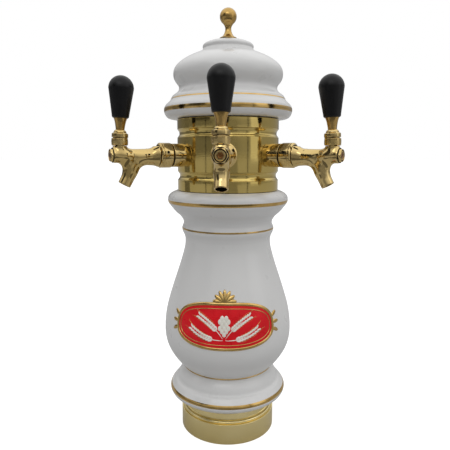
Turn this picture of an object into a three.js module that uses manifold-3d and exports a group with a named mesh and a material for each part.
// A three-tap ceramic beer tower: a vase-shaped ceramic column on a brass foot, a brass collar that
// carries three lever faucets, and a ceramic cap held down by a finial on a central tie rod.
// Millimetres, +Z up, the tower's axis is Z, and the front faucet points along -Y.
import * as THREE from 'three';
import { mergeVertices } from 'three/addons/utils/BufferGeometryUtils.js';
import Module from 'manifold-3d';

const wasm = await Module();
wasm.setup();

// Driving dimensions of the column.
const footRadius = 69.5;
const footTop = 43.4;
const baseBottom = 45.2;
const baseTop = 94.6;
const bodyBottom = 96.4;
const bodyTop = 355.8;
const collarBottom = 357.6;
const collarTop = 455.4;
const collarRadius = 72.4;
const collarBore = 66;
const capBottom = 457.2;
const capTop = 564.8;
const finialBase = 565.2;
const ballHeight = 596;
const ballRadius = 11.7;
const fitGap = 0.3;
const gasketThickness = 1.2;
const rodRadius = 5;
const rodHole = 5.8;
const studRadius = 2.5;
const ledgeTop = 443.2;

// Driving dimensions of one faucet, measured outward from the tower's axis and up from the faucet's.
const tapHeight = 406.5;
const tapAngles = { left: -150, front: -90, right: -30 };
const sleeveRadius = 15.75;
const sleeveEnd = 85.5;
const shankStart = 44;
const shankRadius = 11;
const shankEnd = 95.5;
const nutStart = 88.4;
const nutEnd = 105;
const nutRadius = 16.65;
const tailStart = 97.8;
const barrelRadius = 9.5;
const barrelBore = 5.6;
const barrelEnd = 163.5;
const plugEnd = 170.2;
const spoutRoot = [131.4, 0, 0];
const spoutEnd = [152.3, 0, -38.3];
const spoutRadius = 8;
const spoutBore = 6.7;
const lineRadius = 4;
const lineOffset = 22;

// Driving dimensions of one lever, measured from its pivot.
const leverAxis = 156.6;
const pivotHeight = 15.5;
const leverLean = -3.3;
const ballJoint = 6.6;
const socketRadius = 7.2;
const skirtCavity = 12.75;
const stemRadius = 2.8;
const fingerLength = 14.5;
const fingerRadius = 2;

// Facets around a large, a medium and a small turned piece.
const coarse = 24;
const medium = 14;
const fine = 10;

const finishes = {
  ceramic: { color: 0xcfd2d3, roughness: 0.14, metalness: 0 },
  brass: { color: 0xb09a4e, roughness: 0.2, metalness: 1 },
  tapBrass: { color: 0xc0a468, roughness: 0.22, metalness: 1 },
  steel: { color: 0x9b9d9f, roughness: 0.4, metalness: 1 },
  rubber: { color: 0x222222, roughness: 0.85, metalness: 0 },
  knob: { color: 0x0b0c0e, roughness: 0.32, metalness: 0 },
  foam: { color: 0x3a3a3c, roughness: 0.95, metalness: 0 },
};

// An outline is made of single [radius, height] corners and of curves that are lists of points.
function outline(...stretches) {
  return stretches.flatMap((stretch) => (
    stretch[0] instanceof THREE.Vector2 ? stretch : [new THREE.Vector2(...stretch)]
  ));
}

function smooth(steps, ...corners) {
  return new THREE.SplineCurve(corners.map((corner) => new THREE.Vector2(...corner))).getPoints(steps);
}

function arc(radius, height, size, fromDegrees, toDegrees, steps) {
  const from = THREE.MathUtils.degToRad(fromDegrees);
  const to = THREE.MathUtils.degToRad(toDegrees);
  return new THREE.EllipseCurve(radius, height, size, size, from, to, to < from).getPoints(steps);
}

// Turned pieces stand on the Z axis, or lie along X with their outline's heights as distances outward.
function turned(points, segments) {
  return new THREE.LatheGeometry(points, segments).rotateX(Math.PI / 2);
}

function turnedAlongX(points, segments) {
  return new THREE.LatheGeometry(points, segments).rotateZ(-Math.PI / 2);
}

function ring(inner, outer, bottom, top) {
  return outline([inner, bottom], [outer, bottom], [outer, top], [inner, top], [inner, bottom]);
}

function rod(from, to, radius, segments, endRadius = radius) {
  const start = new THREE.Vector3(...from);
  const end = new THREE.Vector3(...to);
  const along = end.clone().sub(start);
  const geometry = new THREE.CylinderGeometry(endRadius, radius, along.length(), segments);
  const up = new THREE.Vector3(0, 1, 0);
  geometry.applyQuaternion(new THREE.Quaternion().setFromUnitVectors(up, along.normalize()));
  const middle = start.add(end).multiplyScalar(0.5);
  return geometry.translate(middle.x, middle.y, middle.z);
}

function block(from, to) {
  const size = from.map((low, i) => to[i] - low);
  const middle = from.map((low, i) => (low + to[i]) / 2);
  return new THREE.BoxGeometry(...size).translate(...middle);
}

// A boolean needs shared corners, and no slivers where a turned outline meets its axis.
function solid(geometry) {
  const bare = geometry.clone();
  bare.deleteAttribute('normal');
  bare.deleteAttribute('uv');
  const merged = mergeVertices(bare, 1e-3);
  const corners = merged.index.array;
  const triangles = [];
  for (let i = 0; i < corners.length; i += 3) {
    const [a, b, c] = [corners[i], corners[i + 1], corners[i + 2]];
    if (a !== b && b !== c && c !== a) {
      triangles.push(a, b, c);
    }
  }
  return new wasm.Manifold(new wasm.Mesh({
    numProp: 3,
    vertProperties: merged.attributes.position.array,
    triVerts: new Uint32Array(triangles),
  }));
}

function asGeometry(shape) {
  const { vertProperties, triVerts } = shape.getMesh();
  const geometry = new THREE.BufferGeometry();
  geometry.setAttribute('position', new THREE.BufferAttribute(new Float32Array(vertProperties), 3));
  geometry.setIndex(new THREE.BufferAttribute(new Uint32Array(triVerts), 1));
  return geometry;
}

function combine(bases, tools) {
  const whole = bases.map(solid).reduce((shape, piece) => shape.add(piece));
  return asGeometry(tools.map(solid).reduce((shape, tool) => shape.subtract(tool), whole));
}

function place(parent, name, geometry, finish) {
  const mesh = new THREE.Mesh(geometry, new THREE.MeshStandardMaterial(finishes[finish]));
  mesh.name = name;
  parent.add(mesh);
}

const tower = new THREE.Group();
const tapTurns = Object.values(tapAngles).map((angle) => THREE.MathUtils.degToRad(angle));

// ---- The column, from the bottom up ----

function footRing() {
  const plateSeat = 6.8;
  return turned(outline(
    [63, 0],
    [footRadius, 0],
    [footRadius, 29.5],
    [68.4, 31],
    [65.8, 31.6],
    [63.4, 33.4],
    [63.4, footTop],
    [57, footTop],
    [57, plateSeat],
    [63, plateSeat],
    [63, 0],
  ), coarse);
}

// The plate carries the column, takes four bolts through the counter and lets the beer lines up.
function basePlate() {
  const plateTop = 6.4;
  const boss = 11;
  const boltRadius = 3.4;
  const boltCircle = 46;
  const plate = turned(outline(
    [0, 0],
    [62.5, 0],
    [62.5, plateTop],
    [boss, plateTop],
    [boss, 26],
    [rodRadius + fitGap, 26],
    [rodRadius + fitGap, 8],
    [0, 8],
  ), coarse);
  const hole = (distance, radius) => (
    rod([distance, 0, -1], [distance, 0, plateTop + 1], radius, fine)
  );
  const lineHoles = tapTurns.map((turn) => hole(lineOffset, lineRadius + 0.6).rotateZ(turn));
  const boltHoles = [45, 135, 225, 315].map((angle) => (
    hole(boltCircle, boltRadius).rotateZ(THREE.MathUtils.degToRad(angle))
  ));
  return combine([plate], [...lineHoles, ...boltHoles]);
}

function gasket(inner, outer, below) {
  const bottom = below + fitGap;
  return turned(ring(inner, outer, bottom, bottom + gasketThickness), coarse);
}

function ceramicBase() {
  return turned(outline(
    [57.5, baseBottom],
    [65, baseBottom],
    [76, 51],
    [85.2, 58.2],
    [86.5, 61.6],
    [85.2, 66],
    [76.2, 76.8],
    [74.6, 79.6],
    [70.7, 86.6],
    [65, baseTop],
    [58, baseTop],
    [64, 84],
    [76, 64],
    [57.5, 51],
    [57.5, baseBottom],
  ), coarse);
}

function ceramicBody() {
  return turned(outline(
    [58, bodyBottom],
    ...smooth(9, [65.2, bodyBottom], [80.8, 114.4], [90.7, 134.4], [93.4, 154], [90.4, 184], [83.9, 208],
      [75.5, 232], [69.6, 251], [64.2, 269], [62, 283]),
    [63.6, 292.5],
    ...arc(62.4, 302, 4.6, -60, 60, 2),
    [64.5, 311.4],
    ...smooth(3, [66, 318], [73.4, 324.4], [79.8, 332.7], [85.2, 338.6], [86.8, 344.5]),
    [84.2, 352],
    [76.4, bodyTop],
    [62, bodyTop],
    [62, 340],
    [57, 318],
    [55.5, 283],
    [78, 204],
    [85, 154],
    [72, 114],
    [58, bodyBottom],
  ), coarse);
}

// A drum with two coved grooves outside, a ledge for the clamp inside and a hole for each shank.
function collar() {
  const drum = turned(outline(
    [collarBore, collarBottom],
    [collarRadius, collarBottom],
    [collarRadius, 371.6],
    [69.4, 374],
    [69.4, 382],
    [collarRadius, 384.4],
    [collarRadius, 428.8],
    [69.6, 431.2],
    [69.6, 440.6],
    [collarRadius, 443],
    [collarRadius, collarTop],
    [collarBore, collarTop],
    [collarBore, ledgeTop],
    [60, ledgeTop],
    [60, 440],
    [collarBore, 436],
    [collarBore, collarBottom],
  ), coarse + 6);
  const shankHoles = tapTurns.map((turn) => (
    rod([collarBore - 8, 0, tapHeight], [collarRadius + 4, 0, tapHeight], shankRadius + 0.4, medium)
      .rotateZ(turn)
  ));
  return combine([drum], shankHoles);
}

function ceramicCap() {
  return turned(outline(
    [62.5, capBottom],
    [80.6, capBottom],
    ...smooth(3, [86.6, 459.8], [90.1, 469.6], [85.9, 477.4]),
    [80.4, 483.4],
    ...smooth(3, [77.6, 488], [69.4, 497], [70.4, 503.6], [76.4, 517.6]),
    [74.8, 526],
    ...smooth(2, [69.3, 532.2], [54, 541.6], [40, 547.9], [36, 550.4]),
    [34.6, 553],
    [35.4, 556.4],
    [25, 562.4],
    [rodHole, capTop],
    [rodHole, 548],
    [46, 537],
    [67, 522],
    [61, 498],
    [78, 472],
    [62.5, 464],
    [62.5, capBottom],
  ), coarse);
}

// Drilled from below for the tie rod's end, necked above it and topped by a ball.
function finial() {
  const drill = studRadius + 0.4;
  return turned(outline(
    [drill, finialBase],
    [11.8, finialBase],
    [12, 568.4],
    [6.6, 573],
    [4.4, 579.4],
    ...arc(0, ballHeight, ballRadius, -58, 90, 6),
    [0, 573.5],
    [drill, 573.5],
    [drill, finialBase],
  ), medium);
}

function tieRod() {
  const shoulder = 563;
  return turned(outline(
    [0, 8.4],
    [rodRadius, 8.4],
    [rodRadius, shoulder],
    [studRadius, shoulder],
    [studRadius, 573],
    [0, 573],
  ), 12);
}

// A flat bar across the collar's ledge, pulled down by the nut on the tie rod.
const bridgeTop = ledgeTop + fitGap + 5;

function clampBridge() {
  const bar = block([-64, -10, ledgeTop + fitGap], [64, 10, bridgeTop]);
  return combine([bar], [rod([0, 0, ledgeTop - 5], [0, 0, bridgeTop + 5], rodHole, fine)]);
}

function clampNut() {
  const acrossFlats = 17;
  const bottom = bridgeTop + 2.6;
  const top = bottom + 8;
  const nut = rod([0, 0, bottom], [0, 0, top], acrossFlats / Math.sqrt(3), 6);
  return combine([nut], [rod([0, 0, bottom - 1], [0, 0, top + 1], rodRadius + fitGap, fine)]);
}

place(tower, 'foot_ring', footRing(), 'brass');
place(tower, 'base_plate', basePlate(), 'steel');
place(tower, 'foot_gasket', gasket(58, 63.2, footTop), 'rubber');
place(tower, 'ceramic_base', ceramicBase(), 'ceramic');
place(tower, 'waist_gasket', gasket(58.4, 64.4, baseTop), 'rubber');
place(tower, 'ceramic_body', ceramicBody(), 'ceramic');
place(tower, 'collar_gasket', gasket(62.4, 71.6, bodyTop), 'rubber');
place(tower, 'collar', collar(), 'brass');
place(tower, 'cap_gasket', gasket(66, 71.6, collarTop), 'rubber');
place(tower, 'ceramic_cap', ceramicCap(), 'ceramic');
place(tower, 'finial', finial(), 'brass');
place(tower, 'tie_rod', tieRod(), 'steel');
place(tower, 'clamp_bridge', clampBridge(), 'steel');
place(tower, 'clamp_washer', turned(ring(rodHole, 11, bridgeTop + fitGap, bridgeTop + 2.3), medium), 'steel');
place(tower, 'clamp_nut', clampNut(), 'steel');
place(tower, 'insulation_sleeve', turned(ring(29, 37, 34, 372), medium), 'foam');

// ---- One faucet, pointing along +X from the tower's axis, with its own axis at height 0 ----

// The sleeve's inner end is hollowed to sit on the round collar.
function sleeve() {
  const tube = turnedAlongX(ring(shankRadius + 1.2, sleeveRadius, 68, sleeveEnd), medium);
  const drum = rod([0, 0, -30], [0, 0, 30], collarRadius + 0.5, coarse + 6);
  return combine([tube], [drum]);
}

function shank() {
  const bore = 6.2;
  return turnedAlongX(outline(
    [bore, shankStart],
    [shankRadius, shankStart],
    [shankRadius, sleeveEnd + fitGap],
    [14.2, sleeveEnd + fitGap],
    [14.2, nutStart - 0.4],
    [13.5, nutStart - 0.4],
    [13.5, shankEnd],
    [bore, shankEnd],
    [bore, shankStart],
  ), fine);
}

function shankNut() {
  const nut = rod([55.2, 0, 0], [61.8, 0, 0], 28 / Math.sqrt(3), 6);
  return combine([nut], [rod([50, 0, 0], [70, 0, 0], shankRadius + 0.3, fine)]);
}

// A tail pushed into the shank's bore, where the beer line ends against it.
function tailpiece() {
  return turnedAlongX(outline(
    [2.4, 37.8],
    [5, 37.8],
    [6.6, 42.6],
    [8.5, 42.6],
    [8.5, shankStart - fitGap],
    [5.6, shankStart - fitGap],
    [5.6, 52],
    [2.4, 52],
    [2.4, 37.8],
  ), 12);
}

// The beer line rises from the base plate and bends outward to its shank.
function riser() {
  const bend = 15.2;
  const wall = 1;
  const foot = 0.6 - tapHeight;
  const turn = new THREE.QuadraticBezierCurve3(
    new THREE.Vector3(lineOffset, 0, -bend),
    new THREE.Vector3(lineOffset, 0, 0),
    new THREE.Vector3(lineOffset + bend, 0, 0),
  );
  const bent = (radius) => new THREE.ExtrudeGeometry(
    new THREE.Shape().absarc(0, 0, radius, 0, 2 * Math.PI),
    { steps: 5, curveSegments: 4, bevelEnabled: false, extrudePath: turn },
  );
  const straight = (radius) => rod([lineOffset, 0, foot], [lineOffset, 0, 0.1 - bend], radius, 8);
  const drill = rod([lineOffset, 0, foot - 1], [lineOffset, 0, 0.1 - bend], lineRadius - wall, 8);
  const mouth = rod([lineOffset + bend - 1, 0, 0], [lineOffset + bend + 1, 0, 0], lineRadius - wall, 8);
  return combine([straight(lineRadius), bent(lineRadius)], [drill, bent(lineRadius - wall), mouth]);
}

function couplingNut() {
  const lip = 12.3;
  const thread = 14;
  const chamfer = 1.2;
  const nut = turnedAlongX(outline(
    [thread, nutStart],
    [nutRadius - chamfer, nutStart],
    [nutRadius, nutStart + chamfer],
    [nutRadius, nutEnd - chamfer],
    [nutRadius - chamfer, nutEnd],
    [lip, nutEnd],
    [lip, 101],
    [thread, 101],
    [thread, nutStart],
  ), medium);
  const spannerHoles = [-1, 1].map((side) => (
    rod([96, side * 15.2, 0], [96, side * (nutRadius + 2), 0], 1.8, 8).rotateX(side * 0.26)
  ));
  return combine([nut], spannerHoles);
}

function faucetWasher() {
  return turnedAlongX(ring(6.4, 13.2, shankEnd + fitGap, tailStart - fitGap), fine);
}

function faucetBody() {
  const barrel = turnedAlongX(outline(
    [0, tailStart],
    [13.4, tailStart],
    [13.4, 100.7],
    [11.8, 100.7],
    [11.8, 105.4],
    [15.2, 105.4],
    [15.2, 108.2],
    [11.6, 113],
    [8.3, 118.5],
    [8.3, 138],
    [barrelRadius, 144],
    [barrelRadius, barrelEnd],
    [0, barrelEnd],
  ), medium);
  const boss = rod([leverAxis, 0, 4], [leverAxis, 0, 12.1], 8.8, medium);
  const spout = rod(spoutRoot, spoutEnd, spoutRadius, medium);
  const gusset = rod([107, 0, -2.4], [134, 0, -3], 11.6, medium, 6);
  const chin = rod([148.5, 0, -2], [143.5, 0, -22], 8.4, medium, 7.3);
  const seat = turnedAlongX(outline(
    [0, tailStart - 1],
    [3.6, tailStart - 1],
    [3.6, 112],
    [barrelBore, 114],
    [barrelBore, barrelEnd + 1],
    [0, barrelEnd + 1],
  ), fine);
  const along = new THREE.Vector3(...spoutEnd).sub(new THREE.Vector3(...spoutRoot)).normalize();
  const pastEnd = new THREE.Vector3(...spoutEnd).add(along);
  const mouth = rod(spoutRoot, pastEnd.toArray(), spoutBore, fine);
  const plugThread = rod([160.7, 0, 0], [barrelEnd + 1, 0, 0], 7, fine);
  const socket = rod([leverAxis, 0, 7.9], [leverAxis, 0, 14], socketRadius, fine);
  const fingerSlot = block([leverAxis - 9.9, -2.7, 0], [leverAxis + 3.3, 2.7, 8.4]);
  const plugSpace = block([barrelEnd, -10, 0], [barrelEnd + 3, 10, 10]);
  return combine([barrel, boss, spout, gusset, chin], [seat, mouth, plugThread, socket, fingerSlot, plugSpace]);
}

// Screwed into the barrel's end, it guides the valve shaft and closes the barrel.
function frontPlug() {
  const headStart = barrelEnd + fitGap;
  const corner = 16.6 / Math.sqrt(3);
  const head = rod([headStart, 0, 0], [plugEnd, 0, 0], corner, 6);
  const thread = rod([161, 0, 0], [headStart + 1, 0, 0], 6.7, fine);
  const guide = rod([160, 0, 0], [165.4, 0, 0], barrelBore, fine);
  const recess = rod([168.4, 0, 0], [plugEnd + 1, 0, 0], 5.4, fine);
  return combine([head, thread], [guide, recess]);
}

// The nut over the lever's ball, open above for the lever's swing.
function bonnet() {
  const bottom = 12.4;
  const top = 21.9;
  const radius = 10.65;
  return turned(outline(
    [socketRadius, bottom],
    [radius, bottom],
    [radius, top - 1],
    [radius - 1, top],
    [6.9, top],
    [6.2, pivotHeight + 3.4],
    [socketRadius, pivotHeight + 0.4],
    [socketRadius, bottom],
  ), medium);
}

// The shaft's seal closes the seat from behind, and its slotted end takes the lever's finger.
function valveShaft() {
  const slotCentre = leverAxis - fingerLength * Math.sin(THREE.MathUtils.degToRad(leverLean));
  const shaft = turnedAlongX(outline(
    [0, 93],
    [5, 93],
    [5, tailStart - 0.4],
    [2, tailStart - 0.4],
    [2, 149],
    [5, 151],
    [5, 163],
    [0, 163],
  ), 12);
  const slot = block([slotCentre - 2.5, -2.6, -3], [slotCentre + 3.9, 2.6, 6]);
  return combine([shaft], [slot]);
}

// Finger, ball, stem, domed skirt and stud are one turned piece around the lever's own axis.
function lever() {
  const stemTop = Math.sqrt(skirtCavity ** 2 - stemRadius ** 2);
  return turned(outline(
    [0, -fingerLength - fingerRadius],
    [fingerRadius, -fingerLength],
    [fingerRadius, -ballJoint + 0.2],
    ...arc(0, 0, ballJoint, -66, 62, 5),
    [stemRadius, ballJoint],
    [stemRadius, stemTop],
    [6.9, 10.7],
    [10.05, 7.85],
    [10.4, 8.6],
    [10.1, 12.3],
    [7.2, 12.7],
    [6.4, 15],
    [3.6, 16.4],
    [stemRadius, 16.4],
    [stemRadius, 52],
    [0, 52],
  ), fine);
}

function ferrule() {
  return turned(outline(
    [3.2, 16.8],
    [6, 16.8],
    [8.75, 31.2],
    [3.2, 31.2],
    [3.2, 16.8],
  ), fine);
}

function handle() {
  const dome = 16.1;
  const domeHeight = 68.7;
  return turned(outline(
    [3.2, 31.5],
    [9.2, 31.5],
    [10.7, 32.8],
    [dome, domeHeight],
    ...arc(0, domeHeight, dome, 15, 90, 4),
    [0, 54],
    [3.2, 54],
    [3.2, 31.5],
  ), medium);
}

for (const [side, angle] of Object.entries(tapAngles)) {
  const tap = new THREE.Group();
  tap.position.z = tapHeight;
  tap.rotation.z = THREE.MathUtils.degToRad(angle);
  tower.add(tap);
  place(tap, `${side}_sleeve`, sleeve(), 'tapBrass');
  place(tap, `${side}_shank`, shank(), 'tapBrass');
  place(tap, `${side}_shank_nut`, shankNut(), 'tapBrass');
  place(tap, `${side}_tailpiece`, tailpiece(), 'steel');
  place(tap, `${side}_riser`, riser(), 'steel');
  place(tap, `${side}_coupling_nut`, couplingNut(), 'tapBrass');
  place(tap, `${side}_faucet_washer`, faucetWasher(), 'rubber');
  place(tap, `${side}_faucet_body`, faucetBody(), 'tapBrass');
  place(tap, `${side}_front_plug`, frontPlug(), 'tapBrass');
  place(tap, `${side}_valve_shaft`, valveShaft(), 'steel');

  const bonnetSeat = new THREE.Group();
  bonnetSeat.position.x = leverAxis;
  tap.add(bonnetSeat);
  place(bonnetSeat, `${side}_bonnet`, bonnet(), 'tapBrass');

  const swing = new THREE.Group();
  swing.position.set(leverAxis, 0, pivotHeight);
  swing.rotation.y = THREE.MathUtils.degToRad(leverLean);
  tap.add(swing);
  place(swing, `${side}_lever`, lever(), 'tapBrass');
  place(swing, `${side}_ferrule`, ferrule(), 'tapBrass');
  place(swing, `${side}_handle`, handle(), 'knob');
}

export default tower;
